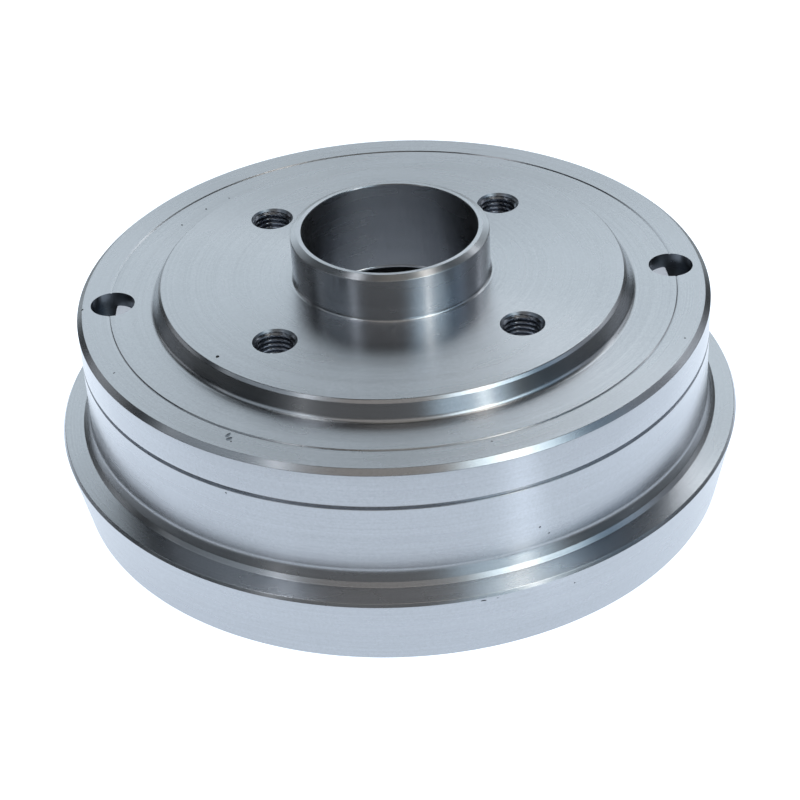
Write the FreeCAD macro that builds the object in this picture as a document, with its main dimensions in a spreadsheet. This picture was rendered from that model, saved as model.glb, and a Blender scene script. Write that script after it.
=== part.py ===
# A car's rear brake drum that is cast and turned in one piece with its wheel hub, in millimetres.
# The open rim lies on the plane z = 0 with its centre at the origin, and the hub's collar points up.
import FreeCAD, Part
import math
import os
import types
import Sketcher

# Driving sizes, each written once. A radius or height that isn't here is worked out from these.
SIZES = {
    # Friction ring: the bore that the shoes rub on, its wall, and the relief in the inner corner
    "friction_radius": 90.125,
    "ring_wall": 4.475,
    "corner_relief_width": 6.8,
    "corner_relief_height": 6.8,
    # Open rim: the recess that the backing plate reaches into, and the lead-in to the friction bore
    "rim_recess_width": 5.4,
    "rim_recess_depth": 7.0,
    "shoe_lead_in": 1.6,
    "rim_foot_wall": 3.85,
    # Flange outside the rim: it tapers out to its edge, and a sloping ledge and a cove lead to the wall
    "flange_taper": 4.2,
    "flange_edge_height": 21.1,
    "flange_edge_chamfer": 1.05,
    "ledge_rise": 2.05,
    "cove_reach": 1.45,
    "cove_radius": 10.0,
    # Back of the drum: its inside depth, its web, and the chamfered outer corner
    "inside_depth": 55.9,
    "web_thickness": 4.6,
    "corner_chamfer_width": 1.65,
    "corner_chamfer_height": 1.35,
    # Turned marker grooves, one in the web's face and one round the wall
    "face_groove_inset": 5.2,
    "face_groove_width": 1.0,
    "face_groove_depth": 0.5,
    "wall_groove_drop": 12.1,
    "wall_groove_width": 0.45,
    "wall_groove_depth": 0.4,
    # Raised plate that the wheel seats on
    "plate_rise": 5.5,
    "plate_margin": 18.95,
    "plate_edge_chamfer": 0.85,
    "plate_cone_run": 2.2,
    "plate_foot_fillet": 2.0,
    # Collar that centres the wheel, and its lip
    "collar_rise": 14.4,
    "collar_wall": 3.5,
    "collar_foot_fillet": 1.0,
    "lip_chamfer_width": 1.6,
    "lip_chamfer_height": 1.0,
    # Wheel bearing seat with the groove for its retaining ring, and the shoulder below it
    "bearing_radius": 26.0,
    "ring_groove_drop": 29.3,
    "ring_groove_width": 2.15,
    "ring_groove_depth": 1.5,
    "bearing_width": 37.0,
    "shoulder_width": 3.5,
    "shoulder_thickness": 3.5,
    # Hub barrel inside the drum, with the draft that it was cast with
    "barrel_end_wall": 6.5,
    "barrel_draft": 1.5,
    "barrel_root_chamfer": 4.0,
    # Tapped holes for the wheel bolts, bored at the outside of a thread that isn't cut here
    "bolt_circle_radius": 50.0,
    "bolt_thread_diameter": 12.0,
    "bolt_countersink_diameter": 13.0,
    "bolt_countersink_angle": 90.0,
    "first_bolt_angle": 45.0,
    "bolt_count": 4,
    # Adjuster access holes, sunk from the web's face so far that they break through beside the ring
    "access_hole_inset": 6.2,
    "access_hole_diameter": 13.2,
    "access_hole_depth": 5.0,
    "access_hole_count": 2,
}

# How far a groove's cutting profile starts outside the surface that it cuts
TOOL_OVERTRAVEL = 1.0
# Two places closer than this are the same
SAME_PLACE = 1e-4


class Length:
    """A length that carries its number and the sheet expression that gives it."""

    def __init__(self, number, text):
        self.number = number
        self.text = text

    def __add__(self, other):
        other = as_length(other)
        return Length(self.number + other.number, "%s + %s" % (self.text, other.text))

    def __sub__(self, other):
        other = as_length(other)
        return Length(self.number - other.number, "%s - (%s)" % (self.text, other.text))


class Cove:
    """Marks the stretch of an outline that is a hollow arc."""

    def __init__(self, radius):
        self.radius = radius


def as_length(value):
    """A plain number as a Length, and a Length as it is."""
    return value if isinstance(value, Length) else Length(float(value), "%r" % float(value))


def size_sheet(doc):
    """The spreadsheet of driving sizes, and the same sizes as named lengths."""
    sheet = doc.addObject("Spreadsheet::Sheet", "Sizes")
    named = types.SimpleNamespace()
    for row, (name, number) in enumerate(SIZES.items(), 1):
        sheet.set("A%d" % row, name)
        sheet.set("B%d" % row, str(number))
        sheet.setAlias("B%d" % row, name)
        setattr(named, name, Length(number, "Sizes." + name))
    doc.recompute()
    return named


def derived_lengths(size):
    """Radii and heights that follow from the driving sizes."""
    at = types.SimpleNamespace()
    at.wall_radius = size.friction_radius + size.ring_wall
    at.recess_radius = size.friction_radius + size.rim_recess_width
    at.rim_foot_radius = at.recess_radius + size.rim_foot_wall
    at.flange_radius = at.rim_foot_radius + size.flange_taper
    at.flange_top = size.flange_edge_height + size.flange_edge_chamfer
    at.cove_foot_radius = at.wall_radius + size.cove_reach
    at.cove_foot_height = at.flange_top + size.ledge_rise
    at.face_height = size.inside_depth + size.web_thickness
    at.plate_height = at.face_height + size.plate_rise
    at.plate_radius = size.bolt_circle_radius + size.plate_margin
    at.plate_foot_radius = at.plate_radius + size.plate_edge_chamfer + size.plate_cone_run
    at.lip_height = at.plate_height + size.collar_rise
    at.collar_radius = size.bearing_radius + size.collar_wall
    at.ring_groove_top = at.lip_height - size.ring_groove_drop
    at.ring_groove_foot = at.ring_groove_top - size.ring_groove_width
    at.seat_height = at.ring_groove_foot - size.bearing_width
    at.barrel_end_height = at.seat_height - size.shoulder_thickness
    at.shoulder_radius = size.bearing_radius - size.shoulder_width
    at.barrel_end_radius = size.bearing_radius + size.barrel_end_wall
    at.barrel_root_radius = at.barrel_end_radius + size.barrel_draft
    at.relief_radius = size.friction_radius - size.corner_relief_width
    at.relief_height = size.inside_depth - size.corner_relief_height
    at.face_groove_radius = size.friction_radius - size.face_groove_inset
    at.wall_groove_height = at.face_height - size.wall_groove_drop
    at.access_circle_radius = size.friction_radius - size.access_hole_inset
    return at


def origin_plane(body, role):
    """One of the body's own origin planes or axes, found by its role."""
    return [item for item in body.Origin.OriginFeatures if item.Role == role][0]


def section_sketch(body, name, corners):
    """A closed outline on the XZ plane through corners that are held at a (radius, height).

    A Cove between two corners makes an arc of that radius there, tangent to the upright line after it.
    """
    sketch = body.newObject("Sketcher::SketchObject", name)
    sketch.AttachmentSupport = [(origin_plane(body, "XZ_Plane"), "")]
    sketch.MapMode = "FlatFace"
    coves = {}
    places = []
    for corner in corners:
        if isinstance(corner, Cove):
            coves[len(places) - 1] = corner.radius
        else:
            places.append((as_length(corner[0]), as_length(corner[1])))
    points = [FreeCAD.Vector(radius.number, height.number, 0) for radius, height in places]
    count = len(points)
    for line in range(count):
        start, end = points[line], points[(line + 1) % count]
        edge = cove_arc(start, end, coves[line]) if line in coves else Part.LineSegment(start, end)
        sketch.addGeometry(edge, False)
    for line in range(count):
        following = (line + 1) % count
        if line in coves:
            sketch.addConstraint(Sketcher.Constraint("Tangent", line, 1, following, 1))
            drive(sketch, "cove_radius_%d" % line, ("Radius", line), coves[line])
        else:
            end_point = 2 if following in coves else 1
            sketch.addConstraint(Sketcher.Constraint("Coincident", line, 2, following, end_point))
    for line, (radius, height) in enumerate(places):
        point = 2 if line in coves else 1
        drive(sketch, "radius_%d" % line, ("DistanceX", -1, 1, line, point), radius)
        if height.number == 0:
            sketch.addConstraint(Sketcher.Constraint("PointOnObject", line, point, -1))
        elif (line - 1) not in coves:
            drive(sketch, "height_%d" % line, ("DistanceY", -1, 1, line, point), height)
    return sketch


def cove_arc(foot, top, radius):
    """The hollow arc from a foot up to the upright wall that it runs into, with its start at the wall."""
    centre = FreeCAD.Vector(top.x + radius.number, top.y, 0)
    swing = math.acos((centre.x - foot.x) / radius.number)
    circle = Part.Circle(centre, FreeCAD.Vector(0, 0, 1), radius.number)
    return Part.ArcOfCircle(circle, math.pi, math.pi + swing)


def drive(sketch, name, places, value, unit=""):
    """Adds a named constraint between places of a sketch and binds it to the sheet."""
    number = math.radians(value.number) if unit else value.number
    index = sketch.addConstraint(Sketcher.Constraint(*places, number))
    sketch.renameConstraint(index, name)
    sketch.setExpression("Constraints." + name, "(%s)%s" % (value.text, unit))


def level_sketch(body, name, height):
    """An empty sketch that lies flat at a height above the rim's plane."""
    sketch = body.newObject("Sketcher::SketchObject", name)
    sketch.AttachmentSupport = [(origin_plane(body, "XY_Plane"), "")]
    sketch.MapMode = "FlatFace"
    sketch.AttachmentOffset = FreeCAD.Placement(FreeCAD.Vector(0, 0, height.number), FreeCAD.Rotation())
    sketch.setExpression("AttachmentOffset.Base.z", height.text)
    return sketch


def polar_circle(sketch, circle_radius, angle_degrees, hole_diameter):
    """A circle whose centre lies on a bolt circle, at an angle from the X axis."""
    angle = math.radians(angle_degrees.number)
    centre = FreeCAD.Vector(math.cos(angle), math.sin(angle), 0) * circle_radius.number
    spoke = sketch.addGeometry(Part.LineSegment(FreeCAD.Vector(), centre), True)
    upward = FreeCAD.Vector(0, 0, 1)
    hole = sketch.addGeometry(Part.Circle(centre, upward, hole_diameter.number / 2), False)
    sketch.addConstraint(Sketcher.Constraint("Coincident", spoke, 1, -1, 1))
    sketch.addConstraint(Sketcher.Constraint("Coincident", spoke, 2, hole, 3))
    drive(sketch, "circle_radius", ("Distance", spoke), circle_radius)
    drive(sketch, "hole_diameter", ("Diameter", hole), hole_diameter)
    if angle_degrees.number == 0:
        sketch.addConstraint(Sketcher.Constraint("Horizontal", spoke))
    else:
        drive(sketch, "hole_angle", ("Angle", -1, 1, spoke, 1), angle_degrees, " * 1 deg")


def turned(body, kind, name, sketch):
    """A section turned all the way round the Z axis: kind is Revolution or Groove."""
    feature = body.newObject("PartDesign::" + kind, name)
    feature.Profile = sketch
    feature.ReferenceAxis = (sketch, ["V_Axis"])
    feature.Angle = 360
    sketch.Visibility = False
    body.Document.recompute()
    return feature


def ring_edges(shape, radius, height):
    """Names of the full or partial circles about the Z axis at one radius and height."""
    names = []
    for number, edge in enumerate(shape.Edges, 1):
        if not isinstance(edge.Curve, Part.Circle):
            continue
        centre = edge.Curve.Center
        offset = abs(edge.Curve.Radius - radius.number) + abs(centre.z - height.number)
        if offset < SAME_PLACE and math.hypot(centre.x, centre.y) < SAME_PLACE:
            names.append("Edge%d" % number)
    if not names:
        raise RuntimeError("no ring edge at radius %g, height %g" % (radius.number, height.number))
    return names


def dress_ring(body, kind, name, amount, radius, height):
    """Rounds or chamfers the ring edge at a radius and height: kind is Fillet or Chamfer."""
    base = body.Tip
    feature = body.newObject("PartDesign::" + kind, name)
    feature.Base = (base, ring_edges(base.Shape, radius, height))
    feature.setExpression("Radius" if kind == "Fillet" else "Size", amount.text)
    body.Document.recompute()
    return feature


def repeated(body, name, feature, count):
    """The feature repeated evenly round the Z axis."""
    pattern = body.newObject("PartDesign::PolarPattern", name)
    pattern.Originals = [feature]
    pattern.Axis = (origin_plane(body, "Z_Axis"), [""])
    pattern.Angle = 360
    pattern.setExpression("Occurrences", count.text)
    body.Tip = pattern
    body.Document.recompute()
    return pattern


def check_cut(feature, before):
    """Stops when a cut took nothing away."""
    if feature.Shape.Volume > before.Volume - SAME_PLACE:
        raise RuntimeError("%s cuts nothing" % feature.Name)


def cove_rise(size):
    """How far the cove's arc climbs while it closes in on the wall."""
    radius = size.cove_radius.number
    inner = radius - size.cove_reach.number
    return math.sqrt(radius**2 - inner**2)


def add_bowl(body, size, at):
    """The drum's bowl: rim, flange, cove, wall, web and raised plate as one turned section."""
    outside = [
        (at.recess_radius, as_length(0)),
        (at.rim_foot_radius, as_length(0)),
        (at.flange_radius, size.flange_edge_height),
        (at.flange_radius - size.flange_edge_chamfer, at.flange_top),
        (at.cove_foot_radius, at.cove_foot_height),
        Cove(size.cove_radius),
        (at.wall_radius, at.cove_foot_height + cove_rise(size)),
        (at.wall_radius, at.face_height - size.corner_chamfer_height),
        (at.wall_radius - size.corner_chamfer_width, at.face_height),
        (at.plate_foot_radius, at.face_height),
        (at.plate_radius + size.plate_edge_chamfer, at.plate_height - size.plate_edge_chamfer),
        (at.plate_radius, at.plate_height),
        (size.bearing_radius, at.plate_height),
    ]
    inside = [
        (size.bearing_radius, size.inside_depth),
        (at.relief_radius, size.inside_depth),
        (size.friction_radius, at.relief_height),
        (size.friction_radius, size.rim_recess_depth + size.shoe_lead_in),
        (size.friction_radius + size.shoe_lead_in, size.rim_recess_depth),
        (at.recess_radius, size.rim_recess_depth),
    ]
    section = section_sketch(body, "BowlSection", outside + inside)
    turned(body, "Revolution", "Bowl", section)


def add_hub(body, size, at):
    """The hub: collar, bearing seat and barrel as one turned section that crosses the web."""
    corners = [
        (size.bearing_radius, at.lip_height),
        (size.bearing_radius, at.seat_height),
        (at.shoulder_radius, at.seat_height),
        (at.shoulder_radius, at.barrel_end_height),
        (at.barrel_end_radius, at.barrel_end_height),
        (at.barrel_root_radius, size.inside_depth),
        (at.barrel_root_radius, at.face_height),
        (at.collar_radius, at.face_height),
        (at.collar_radius, at.lip_height - size.lip_chamfer_height),
        (at.collar_radius - size.lip_chamfer_width, at.lip_height),
    ]
    section = section_sketch(body, "HubSection", corners)
    turned(body, "Revolution", "Hub", section)


def add_roundings(body, size, at):
    """The corner radii that the turning tool leaves, and the slope at the barrel's root."""
    plate_foot = (at.plate_foot_radius, at.face_height)
    dress_ring(body, "Fillet", "PlateFootFillet", size.plate_foot_fillet, *plate_foot)
    collar_foot = (at.collar_radius, at.plate_height)
    dress_ring(body, "Fillet", "CollarFootFillet", size.collar_foot_fillet, *collar_foot)
    barrel_root = (at.barrel_root_radius, size.inside_depth)
    dress_ring(body, "Chamfer", "BarrelRootChamfer", size.barrel_root_chamfer, *barrel_root)


def add_turned_grooves(body, size, at):
    """The retaining ring's groove in the bore, and the two shallow marker grooves outside."""
    bore_side = size.bearing_radius - TOOL_OVERTRAVEL
    ring_bottom = size.bearing_radius + size.ring_groove_depth
    ring_profile = [
        (bore_side, at.ring_groove_foot),
        (ring_bottom, at.ring_groove_foot),
        (ring_bottom, at.ring_groove_top),
        (bore_side, at.ring_groove_top),
    ]
    above_face = at.face_height + size.face_groove_depth
    face_profile = [
        (at.face_groove_radius - size.face_groove_width, above_face),
        (at.face_groove_radius, at.face_height - size.face_groove_depth),
        (at.face_groove_radius + size.face_groove_width, above_face),
    ]
    beyond_wall = at.wall_radius + size.wall_groove_depth
    wall_profile = [
        (beyond_wall, at.wall_groove_height - size.wall_groove_width),
        (beyond_wall, at.wall_groove_height + size.wall_groove_width),
        (at.wall_radius - size.wall_groove_depth, at.wall_groove_height),
    ]
    profiles = {"RingGroove": ring_profile, "FaceGroove": face_profile, "WallGroove": wall_profile}
    for name, corners in profiles.items():
        before = body.Tip.Shape
        section = section_sketch(body, name + "Section", corners)
        groove = turned(body, "Groove", name, section)
        check_cut(groove, before)


def add_bolt_holes(body, size, at):
    """The countersunk holes that the wheel bolts screw into, right through the plate."""
    before = body.Tip.Shape
    sketch = level_sketch(body, "BoltHoleCentre", at.plate_height)
    polar_circle(sketch, size.bolt_circle_radius, size.first_bolt_angle, size.bolt_thread_diameter)
    body.Document.recompute()
    hole = body.newObject("PartDesign::Hole", "BoltHole")
    hole.Profile = sketch
    body.Document.recompute()
    hole.DepthType = "ThroughAll"
    hole.HoleCutType = "Countersink"
    hole.HoleCutCustomValues = True
    hole.setExpression("Diameter", size.bolt_thread_diameter.text)
    hole.setExpression("HoleCutDiameter", size.bolt_countersink_diameter.text)
    hole.setExpression("HoleCutCountersinkAngle", size.bolt_countersink_angle.text)
    body.Document.recompute()
    check_cut(hole, before)
    single = hole.Shape
    check_cut(repeated(body, "BoltHoles", hole, size.bolt_count), single)


def add_access_holes(body, size, at):
    """The two holes beside the friction ring that reach the shoe adjuster."""
    before = body.Tip.Shape
    sketch = level_sketch(body, "AccessHoleCentre", at.face_height)
    on_axis = as_length(0)
    polar_circle(sketch, at.access_circle_radius, on_axis, size.access_hole_diameter)
    pocket = body.newObject("PartDesign::Pocket", "AccessHole")
    pocket.Profile = sketch
    pocket.setExpression("Length", size.access_hole_depth.text)
    body.Document.recompute()
    check_cut(pocket, before)
    single = pocket.Shape
    check_cut(repeated(body, "AccessHoles", pocket, size.access_hole_count), single)


def build_drum(doc, size):
    """The whole drum, turned, rounded, grooved and drilled in that order."""
    at = derived_lengths(size)
    body = doc.addObject("PartDesign::Body", "BrakeDrum")
    body.Label = "brake_drum"
    add_bowl(body, size, at)
    add_hub(body, size, at)
    add_roundings(body, size, at)
    add_turned_grooves(body, size, at)
    add_bolt_holes(body, size, at)
    add_access_holes(body, size, at)
    return body


def write_parts(doc, bodies):
    """Writes each finished piece to its own file, after checking that every feature succeeded."""
    failed = [item.Name for item in doc.Objects if "Invalid" in item.State or "Error" in item.State]
    if failed:
        raise RuntimeError("failed features: " + ", ".join(failed))
    os.makedirs("parts", exist_ok=True)
    for body in bodies:
        shape = body.Shape
        if shape.isNull() or not shape.isValid() or len(shape.Solids) != 1:
            raise RuntimeError(body.Label + " isn't one valid solid")
        shape.exportStep("parts/%s.step" % body.Label)
        print("%s: %.1f cm3, %d faces" % (body.Label, shape.Volume / 1000, len(shape.Faces)))


document = FreeCAD.newDocument("brake_drum")
drum = build_drum(document, size_sheet(document))
document.recompute()
write_parts(document, [drum])
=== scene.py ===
# %% [markdown]
# A rear brake drum in one piece with its wheel hub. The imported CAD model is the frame: it gives the
# drum's true sizes and place, in metres, with the open rim on the floor and the collar up. Here the
# drum gets a finely rounded skin, real threads, machined metal, and a plain white studio.

import math

import bpy
import numpy as np
from mathutils import Matrix, Vector


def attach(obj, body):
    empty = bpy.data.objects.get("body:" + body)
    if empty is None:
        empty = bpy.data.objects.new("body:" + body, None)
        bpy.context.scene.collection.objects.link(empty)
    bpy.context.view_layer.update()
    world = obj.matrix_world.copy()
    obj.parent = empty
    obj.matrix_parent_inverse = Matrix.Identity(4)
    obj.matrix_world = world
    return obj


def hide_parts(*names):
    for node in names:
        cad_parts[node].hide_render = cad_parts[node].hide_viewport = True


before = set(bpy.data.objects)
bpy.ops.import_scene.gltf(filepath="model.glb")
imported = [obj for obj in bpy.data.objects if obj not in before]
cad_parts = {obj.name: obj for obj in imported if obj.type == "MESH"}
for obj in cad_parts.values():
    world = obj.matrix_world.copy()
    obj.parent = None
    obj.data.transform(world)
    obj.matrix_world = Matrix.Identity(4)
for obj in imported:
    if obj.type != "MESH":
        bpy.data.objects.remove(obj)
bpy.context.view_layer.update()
MM = 0.001

# %% [markdown]
# Every turned part is a closed outline, spun round an axis. A lathe leaves no knife-sharp edges, and
# a real edge shows as a thin bright line because its tiny round catches the light. So the outline is
# given as corners with a radius each, and one helper turns them into points. Two extra points hold
# the flat on both sides of each round, because smooth shading otherwise bends the light on the flat.

# %% Rounded outlines
FLAT_HOLD = 0.12


def rounded_outline(corners):
    """Points of a closed outline with rounded corners, and the corner that each point belongs to.

    corners has rows (radius, height, rounding, steps) in mm. At each corner, with half its inside
    angle h, the round starts rounding / tan(h) along both sides and its centre lies
    rounding / sin(h) along the line that halves the corner. A point of the round is the centre plus
    the rounding in a direction that swings evenly from one side to the other.
    """
    corners = np.asarray(corners, float)
    place, rounding, steps = corners[:, :2], corners[:, 2], corners[:, 3].astype(int)
    back = np.roll(place, 1, axis=0) - place
    onward = np.roll(place, -1, axis=0) - place
    back /= np.linalg.norm(back, axis=1)[:, None]
    onward /= np.linalg.norm(onward, axis=1)[:, None]
    half = np.arccos(np.clip((back * onward).sum(1), -1, 1)) / 2
    inward = back + onward
    inward /= np.linalg.norm(inward, axis=1)[:, None]
    centre = place + inward * (rounding / np.sin(half))[:, None]
    reach = (rounding / np.tan(half))[:, None]
    first = place + back * reach - centre
    last = place + onward * reach - centre
    start = np.arctan2(first[:, 1], first[:, 0])
    swing = np.arctan2(last[:, 1], last[:, 0]) - start
    swing = (swing + np.pi) % (2 * np.pi) - np.pi
    owner = np.repeat(np.arange(len(corners)), steps + 2)
    begins = np.cumsum(steps + 2) - (steps + 2)
    local = np.arange(len(owner)) - begins[owner] - 1
    share = np.clip(local / (steps[owner] - 1), 0, 1)
    angle = start[owner] + share * swing[owner]
    points = centre[owner] + rounding[owner, None] * np.stack([np.cos(angle), np.sin(angle)], 1)
    points += back[owner] * FLAT_HOLD * (local < 0)[:, None]
    points += onward[owner] * FLAT_HOLD * (local >= steps[owner])[:, None]
    return points, owner


# %% [markdown]
# Spinning is one formula: a point (radius, height) of the outline at angle a goes to
# (radius cos a, radius sin a, height). All points times all angles make a grid, and each cell of the
# grid is a quad. The grid is closed both ways, so the surface is watertight. 320 steps leave the rim
# less than a hundredth of a millimetre from a true circle.

# %% Spinning an outline into a mesh
ROUND_STEPS = 320


def spin_grid(outline, steps):
    """Vertices of an outline spun round the Z axis: (r cos a, r sin a, h) for every angle a, in m."""
    angle = np.arange(steps) * 2 * np.pi / steps
    radius, height = outline[:, :1] * MM, outline[:, 1:] * MM
    rows = [radius * np.cos(angle), radius * np.sin(angle), height + 0 * angle]
    return np.stack(rows, -1).reshape(-1, 3)


def grid_quads(rows, steps, closed=True):
    """Quads between neighbouring rows of a spun grid: from row j to row j + 1, then on by one step."""
    j = np.arange(rows if closed else rows - 1)[:, None]
    i = np.arange(steps)[None, :]
    here, there = j * steps, (j + 1) % rows * steps
    onward = (i + 1) % steps
    return np.stack([here + i, there + i, there + onward, here + onward], -1).reshape(-1, 4)


def mesh_object(name, vertices, faces, materials, finish=0):
    """A smooth-shaded object from arrays of vertices and faces, with a finish number for each face."""
    mesh = bpy.data.meshes.new(name)
    mesh.from_pydata(vertices, [], faces if isinstance(faces, list) else faces.tolist())
    for material in materials:
        mesh.materials.append(material)
    mesh.polygons.foreach_set("material_index", np.broadcast_to(finish, len(faces)).astype(np.int32))
    mesh.update()
    thing = bpy.data.objects.new(name, mesh)
    bpy.context.scene.collection.objects.link(thing)
    return thing


def shade(mesh, sharpest=38):
    """Smooth shading, with every edge that turns by more than sharpest degrees kept crisp."""
    mesh.shade_smooth()
    mesh.set_sharp_from_angle(angle=math.radians(sharpest))


# %% [markdown]
# Machined iron is a bare metal whose lines all run round the axis. Such lines spread a highlight
# across themselves and leave it narrow along themselves. That is anisotropy, and it needs a tangent
# that runs round the Z axis. The lines themselves are finer than a pixel, so they are only a faint
# relief and a faint change of gloss, made by noise that is stretched round the axis. The noise
# reads the radius and the height, so on a flat face it makes rings and on a wall it makes hoops.

# %% Node helpers
def add_node(tree, kind, settings=None, **inputs):
    """A node of a kind, with its settings, and its inputs linked to sockets or set to values."""
    node = tree.nodes.new(kind)
    for name, value in (settings or {}).items():
        setattr(node, name, value)
    for name, value in inputs.items():
        key = int(name[1:]) if name[0] == "_" and name[1:].isdigit() else name.replace("_", " ")
        socket = node.inputs[key]
        if isinstance(value, bpy.types.NodeSocket):
            tree.links.new(value, socket)
        else:
            socket.default_value = value
    return node


def maths(tree, operation, *values, clamp=False):
    """The result of one Math node."""
    inputs = {"_%d" % i: value for i, value in enumerate(values)}
    settings = {"operation": operation, "use_clamp": clamp}
    return add_node(tree, "ShaderNodeMath", settings, **inputs).outputs[0]


def new_group(name, inputs, outputs):
    """A shader node group with float sockets: inputs maps names to default values."""
    tree = bpy.data.node_groups.new(name, "ShaderNodeTree")
    for label, value in inputs.items():
        socket = tree.interface.new_socket(label, in_out="INPUT", socket_type="NodeSocketFloat")
        socket.default_value = value
    for label in outputs:
        tree.interface.new_socket(label, in_out="OUTPUT", socket_type="NodeSocketFloat")
    start = tree.nodes.new("NodeGroupInput")
    end = tree.nodes.new("NodeGroupOutput")
    return tree, start, end


def use_group(tree, group, **inputs):
    """A node group placed in a material, with its own values."""
    return add_node(tree, "ShaderNodeGroup", {"node_tree": group}, **inputs)


# %% [markdown]
# The marks and the mottle return in several metals, so each is a node group with its own values in
# every material. A group is built once, and a change to it reaches all the metals that use it.

# %% Turning marks and mottle
def turning_marks():
    """Fine and Broad lines: noise at (radius, height) times a density, drifting round the axis."""
    inputs = {"Lines per metre": 2500.0, "Bands per metre": 220.0, "Drift": 0.6}
    tree, start, end = new_group("TurningMarks", inputs, ["Fine", "Broad"])
    place = add_node(tree, "ShaderNodeTexCoord").outputs["Object"]
    axes = add_node(tree, "ShaderNodeSeparateXYZ", _0=place).outputs
    flat = add_node(tree, "ShaderNodeCombineXYZ", X=axes[0], Y=axes[1]).outputs[0]
    radius = add_node(tree, "ShaderNodeVectorMath", {"operation": "LENGTH"}, _0=flat).outputs["Value"]
    spoke = add_node(tree, "ShaderNodeVectorMath", {"operation": "NORMALIZE"}, _0=flat).outputs[0]
    spoke_axes = add_node(tree, "ShaderNodeSeparateXYZ", _0=spoke).outputs
    drift_x = maths(tree, "MULTIPLY", spoke_axes[0], start.outputs["Drift"])
    drift_y = maths(tree, "MULTIPLY", spoke_axes[1], start.outputs["Drift"])
    for label, density in (("Fine", "Lines per metre"), ("Broad", "Bands per metre")):
        across = maths(tree, "MULTIPLY", radius, start.outputs[density])
        up = maths(tree, "MULTIPLY", axes[2], start.outputs[density])
        at = add_node(tree, "ShaderNodeCombineXYZ", X=across, Y=up, Z=drift_x).outputs[0]
        noise_inputs = {"Vector": at, "W": drift_y, "Scale": 1.0, "Detail": 2.0}
        settings = {"noise_dimensions": "4D"}
        noise = add_node(tree, "ShaderNodeTexNoise", settings, **noise_inputs)
        tree.links.new(noise.outputs[0], end.inputs[label])
    return tree


def metal_mottle():
    """Soft cloudy patches and fine specks, both as noise in object space, each from 0 to 1."""
    inputs = {"Cloud scale": 40.0, "Speck scale": 1400.0}
    tree, start, end = new_group("MetalMottle", inputs, ["Cloud", "Speck"])
    place = add_node(tree, "ShaderNodeTexCoord").outputs["Object"]
    for label, scale, detail in (("Cloud", "Cloud scale", 3.0), ("Speck", "Speck scale", 1.0)):
        noise_inputs = {"Vector": place, "Scale": start.outputs[scale], "Detail": detail}
        noise = add_node(tree, "ShaderNodeTexNoise", **noise_inputs)
        tree.links.new(noise.outputs[0], end.inputs[label])
    return tree


TURNING = turning_marks()
MOTTLE = metal_mottle()
print("node groups:", [group.name for group in bpy.data.node_groups])


# %% [markdown]
# A turned face isn't even: its gloss wanders in broad bands and clouds, and its tone has a fine
# grain. Each of these is a group's value less its mean of a half, times a small share, so that the
# colour and the roughness that are asked for stay the average. The tangent runs round the Z axis, and
# a quarter turn lays the narrow side of the highlight along the lines.

# %% Machined iron
GRAIN_TONE, UNEVEN_TONE, UNEVEN_GLOSS = 0.16, 0.10, 0.10
QUARTER_TURN = 0.25


def machined_metal(name, colour, roughness, anisotropy, line_depth, lines=2500.0):
    """Bare turned iron: a metal whose gloss and tone vary a little, with hoops of faint relief."""
    material = bpy.data.materials.new(name)
    material.use_nodes = True
    tree = material.node_tree
    shader = tree.nodes["Principled BSDF"]
    marks = use_group(tree, TURNING, Lines_per_metre=lines)
    mottle = use_group(tree, MOTTLE)
    broad = maths(tree, "SUBTRACT", marks.outputs["Broad"], 0.5)
    cloud = maths(tree, "SUBTRACT", mottle.outputs["Cloud"], 0.5)
    uneven = maths(tree, "ADD", broad, cloud)
    rough = maths(tree, "MULTIPLY_ADD", uneven, UNEVEN_GLOSS, roughness, clamp=True)
    tree.links.new(rough, shader.inputs["Roughness"])
    fine = maths(tree, "SUBTRACT", marks.outputs["Fine"], 0.5)
    speck = maths(tree, "SUBTRACT", mottle.outputs["Speck"], 0.5)
    specks = maths(tree, "MULTIPLY", speck, GRAIN_TONE)
    grain = maths(tree, "MULTIPLY_ADD", fine, GRAIN_TONE, specks)
    tone = maths(tree, "ADD", maths(tree, "MULTIPLY_ADD", uneven, UNEVEN_TONE, grain), 1.0)
    tint = add_node(tree, "ShaderNodeVectorMath", {"operation": "SCALE"}, _0=colour)
    tree.links.new(tone, tint.inputs["Scale"])
    tree.links.new(tint.outputs[0], shader.inputs["Base Color"])
    bump = add_node(tree, "ShaderNodeBump", Height=marks.outputs["Fine"], Distance=line_depth * MM)
    tree.links.new(bump.outputs[0], shader.inputs["Normal"])
    tangent = add_node(tree, "ShaderNodeTangent", {"direction_type": "RADIAL", "axis": "Z"})
    tree.links.new(tangent.outputs[0], shader.inputs["Tangent"])
    shader.inputs["Metallic"].default_value = 1.0
    shader.inputs["Anisotropic"].default_value = anisotropy
    shader.inputs["Anisotropic Rotation"].default_value = QUARTER_TURN
    return material


turned_iron = machined_metal("turned_iron", (0.52, 0.54, 0.575), 0.265, 0.8, 0.0012)
seat_iron = machined_metal("seat_iron", (0.43, 0.44, 0.46), 0.265, 0.8, 0.0004, lines=1600.0)
ground_iron = machined_metal("friction_iron", (0.50, 0.50, 0.51), 0.36, 0.8, 0.003, lines=1600.0)


# %% [markdown]
# The walls of the drilled and tapped holes have no lines round the drum's own axis, so they get a
# plain metal without the tangent. The web's underside and the hub barrel, which no tool touches,
# keep the dark, grainy skin that the sand mould leaves.

# %% Bored metal and cast skin
BORED_CLOUD_GLOSS = 0.25
GRAIN_RELIEF = 0.35


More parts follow.
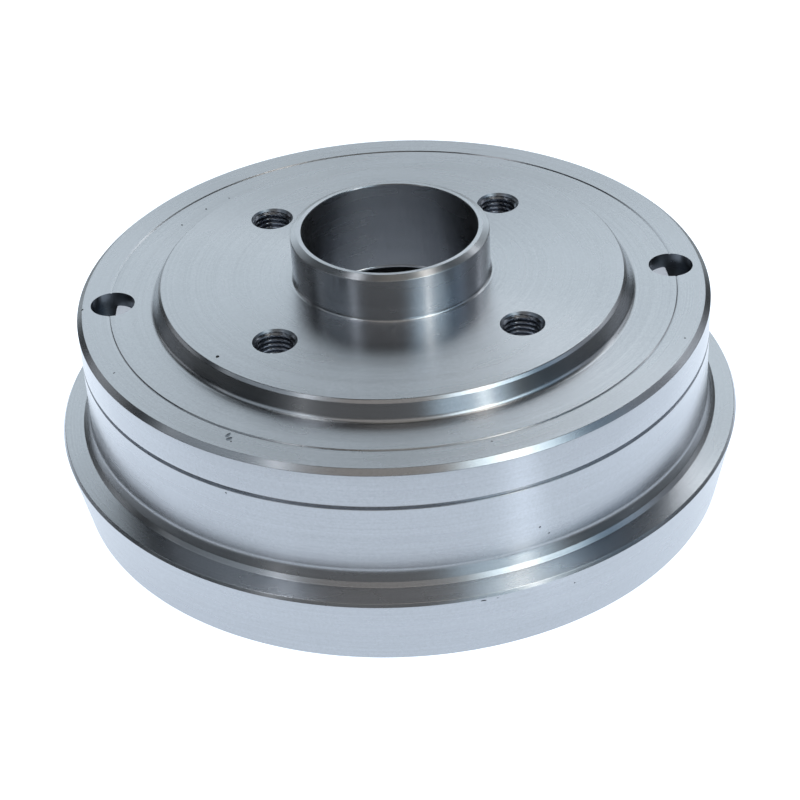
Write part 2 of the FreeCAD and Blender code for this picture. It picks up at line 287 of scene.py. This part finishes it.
def bored_metal(name, colour, roughness):
    """Plain machined metal with a faint cloudy gloss."""
    material = bpy.data.materials.new(name)
    material.use_nodes = True
    tree = material.node_tree
    shader = tree.nodes["Principled BSDF"]
    mottle = use_group(tree, MOTTLE, Cloud_scale=260.0)
    cloud = maths(tree, "SUBTRACT", mottle.outputs["Cloud"], 0.5)
    rough = maths(tree, "MULTIPLY_ADD", cloud, BORED_CLOUD_GLOSS, roughness, clamp=True)
    tree.links.new(rough, shader.inputs["Roughness"])
    shader.inputs["Base Color"].default_value = (*colour, 1)
    shader.inputs["Metallic"].default_value = 1.0
    return material


def cast_skin():
    """Grey iron as it leaves the sand: dull, darker, with grains about half a millimetre wide."""
    material = bpy.data.materials.new("cast_iron_skin")
    material.use_nodes = True
    tree = material.node_tree
    shader = tree.nodes["Principled BSDF"]
    mottle = use_group(tree, MOTTLE, Cloud_scale=60.0, Speck_scale=1100.0)
    ramp = add_node(tree, "ShaderNodeValToRGB", _0=mottle.outputs["Cloud"])
    ramp.color_ramp.elements[0].position = 0.3
    ramp.color_ramp.elements[0].color = (0.055, 0.055, 0.058, 1)
    ramp.color_ramp.elements[1].position = 0.7
    ramp.color_ramp.elements[1].color = (0.115, 0.112, 0.108, 1)
    tree.links.new(ramp.outputs[0], shader.inputs["Base Color"])
    bump = add_node(tree, "ShaderNodeBump", Height=mottle.outputs["Speck"], Distance=GRAIN_RELIEF * MM)
    tree.links.new(bump.outputs[0], shader.inputs["Normal"])
    shader.inputs["Metallic"].default_value = 0.35
    shader.inputs["Roughness"].default_value = 0.62
    return material


bored_iron = bored_metal("bored_iron", (0.20, 0.22, 0.25), 0.32)
thread_iron = bored_metal("thread_iron", (0.25, 0.27, 0.31), 0.24)
cast_iron = cast_skin()
# the near-black finish: inside the pits it is their dark cast skin, in the bore's ring groove it is
# painted shade
pit_and_shade_iron = bored_metal("pit_and_shade_iron", (0.07, 0.075, 0.08), 0.55)
FINISHES = [turned_iron, ground_iron, cast_iron, bored_iron, pit_and_shade_iron, seat_iron]
TURNED, GROUND, CAST, BORED, PIT_AND_SHADE, SEATED = range(6)
print("finishes:", [material.name for material in FINISHES])

# %% [markdown]
# The drum's outline follows the CAD solid corner by corner: collar, raised wheel seat, web, wall,
# cove, flange and rim outside, then the rim's recess, the friction ring, the web's underside, the
# hub barrel and the stepped bore inside. The fillets are the radii that the turning tool leaves, and
# the other edges are broken by a fraction of a millimetre, as a file or an edge tool leaves them.
# Some details are set after the photograph and lie up to 0.8 mm off the CAD solid: the lip's chamfer,
# the bore above its groove, both scribed lines, the cove, the narrow ring at the cove's foot, and the
# ledge and edge of the flange.

# %% The drum's outline
LIP, SEAT, WEB, INSIDE = 80.4, 66.0, 60.5, 55.9
BORE, WALL, SHOE_RING = 26.0, 94.6, 90.125
BOLT_CIRCLE, ACCESS_CIRCLE = 50.0, 83.925
FACE_MARK, WALL_MARK = 84.925, 48.4

# radius, height, rounding, steps, finish of the stretch that follows
OUTLINE = [
    # the collar's lip and its outside
    (BORE + 0.15, LIP - 0.35, 0.05, 3, TURNED),
    (BORE + 0.3, LIP, 0.05, 3, TURNED),
    (27.45, LIP, 0.15, 4, TURNED),
    (29.5, LIP - 1.0, 0.25, 4, TURNED),
    (29.5, SEAT, 1.0, 8, TURNED),
    # the raised wheel seat and its cone
    (68.95, SEAT, 0.5, 4, TURNED),
    (69.8, SEAT - 0.85, 0.5, 4, TURNED),
    (72.0, WEB, 2.0, 8, TURNED),
    # the web with its scribed ring, and the chamfered corner
    (FACE_MARK - 0.4, WEB, 0.04, 3, TURNED),
    (FACE_MARK - 0.05, WEB - 0.22, 0.04, 4, TURNED),
    (FACE_MARK + 0.45, WEB, 0.04, 3, TURNED),
    (WALL - 1.65, WEB, 0.12, 3, TURNED),
    (WALL, WEB - 1.35, 0.12, 3, TURNED),
    # the wall with its scribed hoop, and the cove
    (WALL, WALL_MARK + 0.7, 0.15, 4, TURNED),
    (WALL - 0.8, WALL_MARK + 0.5, 0.05, 4, TURNED),
    (WALL - 0.8, WALL_MARK - 0.4, 0.05, 4, TURNED),
    (WALL, WALL_MARK - 0.5, 0.15, 4, TURNED),
    (WALL, 27.1, 3.2, 7, TURNED),
    (96.05, 24.4, 0.15, 3, TURNED),
    # the narrow ring at the cove's foot, the ledge and the flange's edge
    (97.15, 23.25, 0.3, 4, TURNED),
    (102.95, 22.42, 0.25, 4, TURNED),
    (103.575, 21.5, 0.2, 3, TURNED),
    # the foot that the drum stands on, and the recess inside the rim
    (99.4, 0.0, 0.35, 4, TURNED),
    (95.525, 0.0, 0.35, 4, GROUND),
    (95.525, 7.0, 1.2, 5, GROUND),
    (91.725, 7.0, 0.2, 3, GROUND),
    # the friction ring and the relief above it
    (SHOE_RING, 8.6, 0.2, 3, GROUND),
    (SHOE_RING, 49.1, 1.2, 4, GROUND),
    (83.325, INSIDE, 1.2, 4, CAST),
    # the web's underside and the hub barrel
    (38.0, INSIDE, 2.5, 6, CAST),
    (33.87, 51.9, 2.5, 6, CAST),
    (32.53, 9.45, 0.3, 4, TURNED),
    # the barrel's end, the shoulder, the bearing seat, and the ring groove whose near-black finish is
    # painted shade
    (31.5, 8.45, 0.2, 4, TURNED),
    (22.5, 8.45, 0.3, 4, TURNED),
    (22.5, 11.95, 0.3, 4, TURNED),
    (BORE, 11.95, 0.3, 4, SEATED),
    (BORE, 48.95, 0.1, 4, PIT_AND_SHADE),
    (27.5, 48.95, 0.15, 4, PIT_AND_SHADE),
    (27.5, 51.1, 0.15, 4, PIT_AND_SHADE),
    (BORE, 51.1, 0.05, 3, SEATED),
    (BORE, 51.5, 0.04, 3, TURNED),
    (BORE + 0.2, 51.75, 0.04, 3, SEATED),
]

corners = np.array(OUTLINE)
outline, corner_of = rounded_outline(corners[:, :4])
stretch_finish = np.repeat(corners[corner_of, 4].astype(np.int32), ROUND_STEPS)
drum = mesh_object(
    "drum_skin",
    spin_grid(outline, ROUND_STEPS),
    grid_quads(len(outline), ROUND_STEPS),
    FINISHES,
    stretch_finish,
)
print("drum outline:", len(outline), "points, quads:", len(drum.data.polygons))


# %% [markdown]
# The holes could be modelled into the grid, but that would bend its rings. A drill is simpler: each
# hole is a spun cutter, and a Boolean takes it out of the skin. Its faces bring their own finish,
# which is how the hole walls lose the lines that run round the drum. The bolt holes are bored to the
# thread's outer diameter here, because the thread comes next as a piece of its own.

# %% Drilling the holes
def cutter(name, profile, x, y, steps=96):
    """A closed cutter: a profile of (radius, height) from top to bottom, spun round (x, y)."""
    profile = np.array(profile, float)
    vertices = spin_grid(profile, steps) + np.array([x, y, 0]) * MM
    faces = grid_quads(len(profile), steps, closed=False).tolist()
    ring = np.arange(steps)
    faces.append(ring.tolist())
    faces.append((ring[::-1] + (len(profile) - 1) * steps).tolist())
    return mesh_object(name, vertices, faces, FINISHES, BORED)


def on_circle(radius, degrees):
    """A point on a circle round the axis: (r cos a, r sin a)."""
    angle = math.radians(degrees)
    return radius * math.cos(angle), radius * math.sin(angle)


# %% [markdown]
# A few small flaws show in the photograph: pores of the casting that the tool laid open, a dent in the
# face and a nick under the flange's edge. Each is an uneven little pit, set square to the surface that
# it is in, and the same Boolean cuts it.

# %% Pits
SHALLOW = 0.13

# radius and height of the place in mm, its azimuth and the tilt of its surface's normal in degrees,
# then the pit's size round the axis, its size across that, and its depth in mm
PITS = [
    (66.1, SEAT, 218.7, 90, 1.1, 1.3, 0.6),
    (87.3, WEB, 235.9, 90, 1.3, 2.2, 0.09),
    (88.6, WEB, 236.7, 90, 1.5, 2.0, 0.11),
    (89.3, WEB, 237.4, 90, 0.6, 0.6, 0.25),
    (92.9, WEB - 0.1, 181.2, 70, 0.8, 0.8, 0.3),
    (85.1, WEB - 0.4, 32.1, 90, 0.6, 0.7, 0.2),
    (78.6, WEB, 144.9, 90, 0.6, 0.8, 0.25),
    (78.7, WEB, 136.2, 90, 0.6, 0.8, 0.25),
    (78.3, WEB, 129.2, 90, 0.5, 0.7, 0.2),
    (90.8, WEB, 333.4, 90, 0.5, 0.7, 0.2),
    (89.8, WEB, 204.7, 90, 0.5, 0.7, 0.2),
    (86.7, WEB, 284.5, 90, 0.5, 0.6, 0.15),
    (WALL, 46.8, 237.6, 0, 0.6, 0.5, 0.2),
    (WALL, 33.7, 291.0, 0, 0.6, 0.6, 0.2),
    (WALL, 30.6, 292.7, 0, 0.6, 0.5, 0.2),
    (94.9, 27.1, 285.9, 13, 0.6, 0.5, 0.2),
    (WALL, 28.2, 210.8, 0, 0.7, 0.6, 0.25),
    (97.7, 23.9, 275.3, 70, 0.7, 0.6, 0.2),
    (97.6, 23.9, 330.3, 70, 0.8, 0.8, 0.25),
    (97.7, 23.9, 195.4, 70, 0.7, 0.8, 0.25),
    (103.5, 20.7, 279.4, -11, 1.7, 0.6, 0.25),
    (103.5, 20.5, 278.3, -11, 1.2, 0.4, 0.12),
    (103.5, 20.7, 281.6, -11, 0.8, 0.4, 0.12),
    (102.85, 17.4, 294.6, -11, 0.6, 0.5, 0.2),
]


def pit(radius, height, azimuth, tilt, width, length, depth, rings=6, steps=12):
    """An uneven squashed ball round a place: width / 2 times u, length / 2 times v, depth times w.

    (u, v, w) is a point of the unit ball. u goes round the axis, w goes out of the surface, and v is
    square to both. The ball's outline swells and shrinks by a fifth as a sine of the angle in it.
    """
    a, t = math.radians(azimuth), math.radians(tilt)
    around = np.array([-math.sin(a), math.cos(a), 0])
    outward = np.array([math.cos(t) * math.cos(a), math.cos(t) * math.sin(a), math.sin(t)])
    across = np.cross(outward, around)
    polar = np.radians(np.linspace(12, 168, rings))[:, None]
    swing = np.arange(steps) * 2 * np.pi / steps
    uneven = 1 + 0.12 * np.sin(2 * swing + 3 * azimuth) + 0.08 * np.sin(3 * swing + azimuth)
    u = np.sin(polar) * np.cos(swing) * uneven * width / 2
    v = np.sin(polar) * np.sin(swing) * uneven * length / 2
    w = np.cos(polar) * depth + 0 * swing
    place = np.array([radius * math.cos(a), radius * math.sin(a), height])
    points = place + u[..., None] * around + v[..., None] * across + w[..., None] * outward
    faces = grid_quads(rings, steps, closed=False).tolist()
    faces.append(list(range(steps)))
    faces.append(list(range(rings * steps - 1, rings * steps - 1 - steps, -1)))
    return points.reshape(-1, 3) * MM, faces


def pit_cutter():
    """All pits as one cutter. The shallow ones are bright scrapes, the deeper ones are dark inside."""
    balls = [pit(*row) for row in PITS]
    vertices = np.concatenate([points for points, _ in balls])
    starts = np.cumsum([0] + [len(points) for points, _ in balls[:-1]])
    faces = [[v + int(start) for v in face] for start, (_, ball) in zip(starts, balls) for face in ball]
    kinds = [BORED if row[-1] < SHALLOW else PIT_AND_SHADE for row in PITS]
    finish = np.repeat(kinds, [len(ball) for _, ball in balls])
    return mesh_object("pits", vertices, faces, FINISHES, finish)


# %% [markdown]
# Every cutter is one Boolean modifier. They are all added first and worked out together, so Blender
# makes the drilled mesh once. The result takes the place of the plain mesh, and the cutters go. The
# access holes are drilled only a little deeper than the web is thick.

# %% Cutting them out of the drum
BOLT_ANGLES = (45, 135, 225, 315)
ACCESS_ANGLES = (0, 180)
COUNTERSINK = 6.5
THREAD_MAJOR = 6.0
COUNTERSINK_DEPTH = COUNTERSINK - THREAD_MAJOR
ACCESS_RADIUS = 6.6
bolt_profile = [
    (COUNTERSINK + 1, SEAT + 1),
    (THREAD_MAJOR, SEAT - COUNTERSINK_DEPTH),
    (THREAD_MAJOR, INSIDE - 3),
]
access_profile = [(ACCESS_RADIUS, WEB + 2), (ACCESS_RADIUS, WEB - 5.0)]
drills = [cutter("drill", bolt_profile, *on_circle(BOLT_CIRCLE, a)) for a in BOLT_ANGLES]
drills += [cutter("drill", access_profile, *on_circle(ACCESS_CIRCLE, a)) for a in ACCESS_ANGLES]
drills.append(pit_cutter())
for drill in drills:
    cut = drum.modifiers.new("hole", "BOOLEAN")
    cut.operation = "DIFFERENCE"
    cut.solver = "EXACT"
    cut.object = drill
bpy.context.view_layer.update()
drilled = bpy.data.meshes.new_from_object(drum.evaluated_get(bpy.context.evaluated_depsgraph_get()))
drum.modifiers.clear()
drum.data = drilled
for drill in drills:
    bpy.data.objects.remove(drill)
shade(drum.data)
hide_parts("brake_drum")
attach(drum, "root")
print("drilled drum faces:", len(drum.data.polygons))

# %% [markdown]
# The wheel bolts screw into M12 x 1.5 threads. A thread is a surface of two parameters: at an angle
# and a depth, the wall's radius follows a wave of flat crests, flat roots and 60 degree flanks, and
# the wave climbs by one pitch for each turn. The countersink and the chamfer at the bottom cut the
# wave off, so the radius is the larger of the wave and the two cones.

# %% Threads
PITCH = 1.5
THREAD_MINOR = 5.19
CREST_SHARE, FLANK_SHARE = 0.25, 0.3125
CREST_PHASE = 0.317
# the lining stays clear of the drilled wall by one, and its hidden outer wall lies behind by the other
LINING_CLEAR, LINING_BEHIND = 0.015, 0.06
LINING_END = 0.02


def thread_radius(angle, depth):
    """Radius of the threaded wall in mm. The phase, depth / pitch + angle / turn, makes it climb."""
    root = THREAD_MAJOR - LINING_CLEAR
    phase = (depth / PITCH + angle / (2 * np.pi) - CREST_PHASE + 0.5) % 1 - 0.5
    climb = np.clip((np.abs(phase) - CREST_SHARE / 2) / FLANK_SHARE, 0, 1)
    wave = THREAD_MINOR + (root - THREAD_MINOR) * climb
    mouth = COUNTERSINK - depth
    bottom = THREAD_MAJOR - (SEAT - INSIDE) + depth
    return np.minimum(np.maximum(wave, np.maximum(mouth, bottom)), root)


def thread_lining(x, y, angle_steps=96, depth_steps=150):
    """Vertices and quads of one threaded lining, closed by an outer wall that hides in the metal."""
    angle = np.arange(angle_steps) * 2 * np.pi / angle_steps
    depth = np.linspace(COUNTERSINK_DEPTH, SEAT - INSIDE - LINING_END, depth_steps)[:, None]
    inner = thread_radius(angle, depth)
    radius = np.concatenate([inner, np.full((2, angle_steps), THREAD_MAJOR + LINING_BEHIND)])
    drop = np.concatenate([depth, depth[-1:], depth[:1]])
    rows = [x + radius * np.cos(angle), y + radius * np.sin(angle), SEAT - drop + 0 * angle]
    quads = grid_quads(depth_steps + 2, angle_steps)
    return np.stack(rows, -1).reshape(-1, 3) * MM, quads[:, ::-1]


linings = [thread_lining(*on_circle(BOLT_CIRCLE, a)) for a in BOLT_ANGLES]
lining_size = len(linings[0][0])
threads = mesh_object(
    "bolt_threads",
    np.concatenate([vertices for vertices, _ in linings]),
    np.concatenate([quads + k * lining_size for k, (_, quads) in enumerate(linings)]),
    [thread_iron],
)
shade(threads.data, sharpest=25)
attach(threads, "root")
print("threads:", len(linings), "linings of", len(linings[0][1]), "quads")

# %% [markdown]
# The studio is a pale floor and a dark room with light cards in it. A bare metal shows nothing
# but its surroundings, so the cards are what gives the chamfers and coves their dark and light bands.
# The world takes its colour from the direction alone. A wide card is a patch of azimuth and elevation
# with soft edges. A streak card is a narrow slit in such a patch. Lines turned round the axis smear a
# slit's highlight into one bright streak from the hub to the rim, at a certain azimuth of the drum,
# and all directions that light that azimuth have the same reach along the lines there. So a slit is a
# band of that reach. The cards' strengths come from a fit of lit zones to the photograph's tones and
# from adjustment after it, so the light suits this view best.

# %% Cards and streaks
# name: azimuth, elevation, half width, half height, softness across and upward in degrees, the colour
CARDS = {
    "back_wall": (90, 18, 31, 22, 6, 8, (0.83, 0.92, 0.97)),
    "back_right": (55, 38, 16, 10, 10, 10, (0.15, 0.16, 0.16)),
    "left_back": (150, 19, 10, 4, 8, 5, (0.5, 0.52, 0.54)),
    "right_back": (31, 19, 10, 4, 8, 5, (0.46, 0.48, 0.5)),
    "key": (318, 52, 16, 9, 10, 10, (2.0, 2.4, 2.55)),
    "beside_key": (345, 42, 10, 14, 10, 10, (0.2, 0.3, 0.4)),
    "left_high": (195, 48, 25, 9, 12, 12, (0.42, 0.47, 0.51)),
    "low_right": (300, 5, 12, 14, 10, 10, (0.58, 0.77, 0.9)),
    "right": (15, 30, 22, 8, 10, 10, (0.3, 0.32, 0.35)),
    "front": (270, 25, 45, 22, 15, 15, (0.12, 0.12, 0.12)),
    "front_high": (280, 68, 60, 13, 10, 8, (0.31, 0.29, 0.27)),
    "front_middle": (262, 54, 30, 3, 15, 6, (0.32, 0.29, 0.26)),
    "overhead": (0, 90, 180, 4, 1, 8, (0.36, 0.33, 0.28)),
}
# name: the card's six angles, then the lit azimuth of the drum, the slit's half width and the colour
STREAKS = {
    "key_low": (306, 8, 14, 12, 10, 10, 289, 0.05, (1.6, 1.7, 1.7)),
    "key_middle": (310, 32, 14, 10, 10, 10, 289, 0.05, (2.4, 2.2, 1.9)),
    "key_high": (320, 55, 30, 14, 10, 10, 289, 0.05, (3.0, 2.4, 1.7)),
    "key_top": (36, 69, 16, 5, 8, 6, 291, 0.06, (5.0, 4.7, 4.3)),
    "left_slit": (205, 58, 15, 12, 10, 10, 245, 0.05, (1.8, 1.85, 1.9)),
    "left_top_slit": (142, 69, 14, 5, 8, 6, 245, 0.05, (5.0, 5.1, 5.2)),
    "left_low_slit": (225, 30, 15, 12, 10, 10, 245, 0.05, (0.5, 0.5, 0.5)),
    "right_slit": (55, 43, 25, 10, 8, 8, 331, 0.03, (2.2, 2.2, 2.2)),
    "far_left_slit": (172, 40, 14, 15, 8, 8, 222, 0.04, (0.42, 0.42, 0.42)),
}
CAMERA_AZIMUTH, CAMERA_TILT = 268.3, 34.4
print("cards:", len(CARDS), "streaks:", len(STREAKS))

# %% [markdown]
# A card's mask is worked out from the azimuth and the elevation of the direction that the world is
# asked for. A slit's mask takes the direction's reach along the lines instead. The slit lights the
# azimuth that it should when its reach is the camera's own, mirrored to the other side.

# %% Masks of cards and slits
def soft_card():
    """Mask of a soft card: 1 inside, down to 0 over the softness outside its half width or height."""
    inputs = {"Azimuth": 0.0, "Elevation": 30.0, "Half width": 20.0, "Half height": 10.0}
    inputs |= {"Soft across": 8.0, "Soft up": 8.0}
    tree, start, end = new_group("SoftCard", inputs, ["Mask"])
    place = add_node(tree, "ShaderNodeTexCoord").outputs["Generated"]
    axes = add_node(tree, "ShaderNodeSeparateXYZ", _0=place).outputs
    azimuth = maths(tree, "DEGREES", maths(tree, "ARCTAN2", axes[1], axes[0]))
    elevation = maths(tree, "DEGREES", maths(tree, "ARCSINE", axes[2]))
    turn = maths(tree, "SUBTRACT", azimuth, start.outputs["Azimuth"])
    aside = maths(tree, "ABSOLUTE", maths(tree, "WRAP", turn, 180.0, -180.0))
    above = maths(tree, "ABSOLUTE", maths(tree, "SUBTRACT", elevation, start.outputs["Elevation"]))
    fades = []
    sides = ((aside, "Half width", "Soft across"), (above, "Half height", "Soft up"))
    for distance, half, soft in sides:
        reach = maths(tree, "ADD", start.outputs[half], start.outputs[soft])
        left = maths(tree, "SUBTRACT", reach, distance)
        fades.append(maths(tree, "DIVIDE", left, start.outputs[soft], clamp=True))
    tree.links.new(maths(tree, "MULTIPLY", *fades), end.inputs["Mask"])
    return tree


def slit():
    """Mask of a slit: 1 - |reach along the lines - Offset| / Width, from the direction's own reach."""
    inputs = {"Lines azimuth": 0.0, "Offset": 0.0, "Width": 0.05}
    tree, start, end = new_group("Slit", inputs, ["Mask"])
    place = add_node(tree, "ShaderNodeTexCoord").outputs["Generated"]
    axes = add_node(tree, "ShaderNodeSeparateXYZ", _0=place).outputs
    angle = maths(tree, "RADIANS", start.outputs["Lines azimuth"])
    along_x = maths(tree, "MULTIPLY", axes[0], maths(tree, "COSINE", angle))
    reach = maths(tree, "MULTIPLY_ADD", axes[1], maths(tree, "SINE", angle), along_x)
    miss = maths(tree, "ABSOLUTE", maths(tree, "SUBTRACT", reach, start.outputs["Offset"]))
    share = maths(tree, "DIVIDE", miss, start.outputs["Width"])
    mask = maths(tree, "SUBTRACT", 1.0, share, clamp=True)
    tree.links.new(mask, end.inputs["Mask"])
    return tree


def slit_offset(lit_azimuth):
    """The reach along the lines that a slit needs: the camera's own, mirrored to the other side."""
    turn = math.radians(CAMERA_AZIMUTH - lit_azimuth)
    return -math.cos(math.radians(CAMERA_TILT)) * math.sin(turn)


# %% [markdown]
# The world adds up every mask times its colour, on black. The camera itself sees plain white there,
# as in the photograph, and only the drum sees the cards.

# %% The room
def room_world():
    """World colour: every card's mask times its colour, added up, and plain white to the camera."""
    world = bpy.data.worlds.new("studio_room")
    world.use_nodes = True
    tree = world.node_tree
    tree.nodes.clear()
    card, gap = soft_card(), slit()
    total = (0.0, 0.0, 0.0)
    for name, row in (CARDS | STREAKS).items():
        azimuth, elevation, half_width, half_height, soft, soft_up = row[:6]
        sizes = {"Half_width": half_width, "Half_height": half_height}
        sizes |= {"Soft_across": soft, "Soft_up": soft_up}
        mask = use_group(tree, card, Azimuth=azimuth, Elevation=elevation, **sizes).outputs[0]
        if name in STREAKS:
            lines = {"Lines_azimuth": row[6] + 90, "Offset": slit_offset(row[6]), "Width": row[7]}
            mask = maths(tree, "MULTIPLY", mask, use_group(tree, gap, **lines).outputs[0])
        add = {"operation": "MULTIPLY_ADD", "label": name}
        total = add_node(tree, "ShaderNodeVectorMath", add, _0=mask, _1=row[-1], _2=total).outputs[0]
    lit = add_node(tree, "ShaderNodeBackground", Color=total, Strength=1.0)
    white = add_node(tree, "ShaderNodeBackground", Color=(1, 1, 1, 1), Strength=1.0)
    seen = add_node(tree, "ShaderNodeLightPath").outputs["Is Camera Ray"]
    mix = add_node(tree, "ShaderNodeMixShader", _0=seen, _1=lit.outputs[0], _2=white.outputs[0])
    add_node(tree, "ShaderNodeOutputWorld", Surface=mix.outputs[0])
    bpy.context.scene.world = world


room_world()
print("world:", bpy.context.scene.world.name)

# %% [markdown]
# The floor is white paper with a painted pool of light: it glows near the drum, where the walls mirror
# it, and is dark further off. A painted shadow dims the glow right under the drum, and a painted gleam
# of the key lamp runs out from under the wall. The camera sees the floor overexposed, as the photograph
# does, so to the camera alone it is plain white all over.

# %% The floor
POOL_COLOUR = (0.89, 0.98, 1.09)
# share that the pool gains for each metre backward, inner and outer radius in metres, glow
POOLS = {"front": (-4.0, 0.18, 0.25, 1.02), "back": (4.0, 0.12, 0.29, 1.9)}
# a painted shadow under the drum dims the pools: this share at the axis, and more for each metre
# outward, up to 1
PAINTED_SHADOW_AT_AXIS, PAINTED_SHADOW_PER_METRE = 0.45, 3.2
# a painted gleam of the key lamp on the floor: its azimuth, then its way aside of the axis, its half
# width, where it starts and how softly, all in metres, and its glow
GLEAM_AZIMUTH = math.radians(310)
GLEAM_ASIDE, GLEAM_WIDTH, GLEAM_START, GLEAM_SOFT = -0.034, 0.020, 0.11, 0.015
GLEAM_GLOW, WHITE_GLOW = 0.4, 1.2
PAPER = (0.35, 0.35, 0.35, 1)
# half the floor's side in metres, and its place under the rim in mm
FLOOR_HALF, FLOOR_DROP = 12.0, 0.05


def pale_floor():
    """A pale plane under the rim, with painted light: two painted pools of light, the sum of share
    times fade times glow.

    A pool's share is 0.5 plus its gain times the way backward, and its fade goes from 1 at its inner
    radius to 0 at its outer radius, both kept from 0 to 1. A painted shadow dims them under the drum.
    The painted gleam is a soft stripe that runs outward from under the wall. To the camera, the glow is
    at least WHITE_GLOW.
    """
    material = bpy.data.materials.new("pale_floor")
    material.use_nodes = True
    tree = material.node_tree
    shader = tree.nodes["Principled BSDF"]
    place = add_node(tree, "ShaderNodeTexCoord").outputs["Object"]
    far = add_node(tree, "ShaderNodeVectorMath", {"operation": "LENGTH"}, _0=place).outputs["Value"]
    right, behind = add_node(tree, "ShaderNodeSeparateXYZ", _0=place).outputs[:2]
    glow = 0.0
    for gain, inner, outer, strength in POOLS.values():
        share = maths(tree, "MULTIPLY_ADD", behind, gain, 0.5, clamp=True)
        left = maths(tree, "SUBTRACT", outer, far)
        fade = maths(tree, "DIVIDE", left, outer - inner, clamp=True)
        glow = maths(tree, "MULTIPLY_ADD", maths(tree, "MULTIPLY", share, fade), strength, glow)
    # the painted shadow under the drum: a share of the glow that grows from the axis outward
    painted_shadow = maths(tree, "MULTIPLY_ADD", far, PAINTED_SHADOW_PER_METRE, PAINTED_SHADOW_AT_AXIS, clamp=True)
    glow = maths(tree, "MULTIPLY", glow, painted_shadow)
    # the painted gleam: a soft stripe of glow that runs outward from under the wall
    cosine, sine = math.cos(GLEAM_AZIMUTH), math.sin(GLEAM_AZIMUTH)
    aside = maths(tree, "MULTIPLY_ADD", right, -sine, maths(tree, "MULTIPLY", behind, cosine))
    miss = maths(tree, "ABSOLUTE", maths(tree, "SUBTRACT", aside, GLEAM_ASIDE))
    stripe = maths(tree, "SUBTRACT", 1.0, maths(tree, "DIVIDE", miss, GLEAM_WIDTH), clamp=True)
    outward = maths(tree, "MULTIPLY_ADD", right, cosine, maths(tree, "MULTIPLY", behind, sine))
    past = maths(tree, "SUBTRACT", outward, GLEAM_START)
    gate = maths(tree, "DIVIDE", past, GLEAM_SOFT, clamp=True)
    glow = maths(tree, "MULTIPLY_ADD", maths(tree, "MULTIPLY", stripe, gate), GLEAM_GLOW, glow)
    seen = add_node(tree, "ShaderNodeLightPath").outputs["Is Camera Ray"]
    glow = maths(tree, "MAXIMUM", glow, maths(tree, "MULTIPLY", seen, WHITE_GLOW))
    tree.links.new(glow, shader.inputs["Emission Strength"])
    shader.inputs["Emission Color"].default_value = (*POOL_COLOUR, 1)
    shader.inputs["Base Color"].default_value = PAPER
    shader.inputs["Roughness"].default_value = 0.9
    shader.inputs["Specular IOR Level"].default_value = 0.0
    half = FLOOR_HALF / MM
    square = np.array([(-half, -half), (half, -half), (half, half), (-half, half)])
    vertices = np.column_stack([square, np.full(4, -FLOOR_DROP)]) * MM
    return mesh_object("studio_floor", vertices, [[0, 1, 2, 3]], [material])


floor = pale_floor()
print("floor of", 2 * FLOOR_HALF, "m, pools:", len(POOLS))

# %% [markdown]
# The camera stands where the photograph was taken from. It and the circles of the drum's edges were
# fitted to the photograph together, with the bolt circle's radius as the one known size. It looks
# from 34 degrees above the floor, turned a little, and rolled by three degrees.

# %% Camera
FRAME_PIXELS, FOCAL_PIXELS = 800, 2092.22
CAMERA_BACK, CAMERA_UP = 537.23, 320.85 + SEAT
CAMERA_YAW, CAMERA_PITCH, CAMERA_ROLL = 0.000572, 0.601198, -0.055185
DRUM_TURN = math.radians(1.68)


def photo_camera():
    """A camera with columns right, up and minus forward, worked out from yaw, pitch and roll."""
    yaw, pitch, roll = CAMERA_YAW, CAMERA_PITCH, CAMERA_ROLL
    level_reach = math.cos(pitch)
    forward = Vector((math.sin(yaw) * level_reach, math.cos(yaw) * level_reach, -math.sin(pitch)))
    level = Vector((math.cos(yaw), -math.sin(yaw), 0))
    up = level.cross(forward)
    right = math.cos(roll) * level + math.sin(roll) * up
    top = -math.sin(roll) * level + math.cos(roll) * up
    pose = Matrix((right, top, -forward)).transposed().to_4x4()
    pose.translation = Vector((0, -CAMERA_BACK, CAMERA_UP)) * MM
    data = bpy.data.cameras.new("photo_camera")
    data.sensor_width = 36
    data.lens = FOCAL_PIXELS / FRAME_PIXELS * data.sensor_width
    camera = bpy.data.objects.new("photo_camera", data)
    camera.matrix_world = Matrix.Rotation(-DRUM_TURN, 4, "Z") @ pose
    bpy.context.scene.collection.objects.link(camera)
    bpy.context.scene.camera = camera
    return camera


camera = photo_camera()
bpy.context.scene.view_settings.view_transform = "Standard"
print("camera at", [round(v, 4) for v in camera.matrix_world.translation])
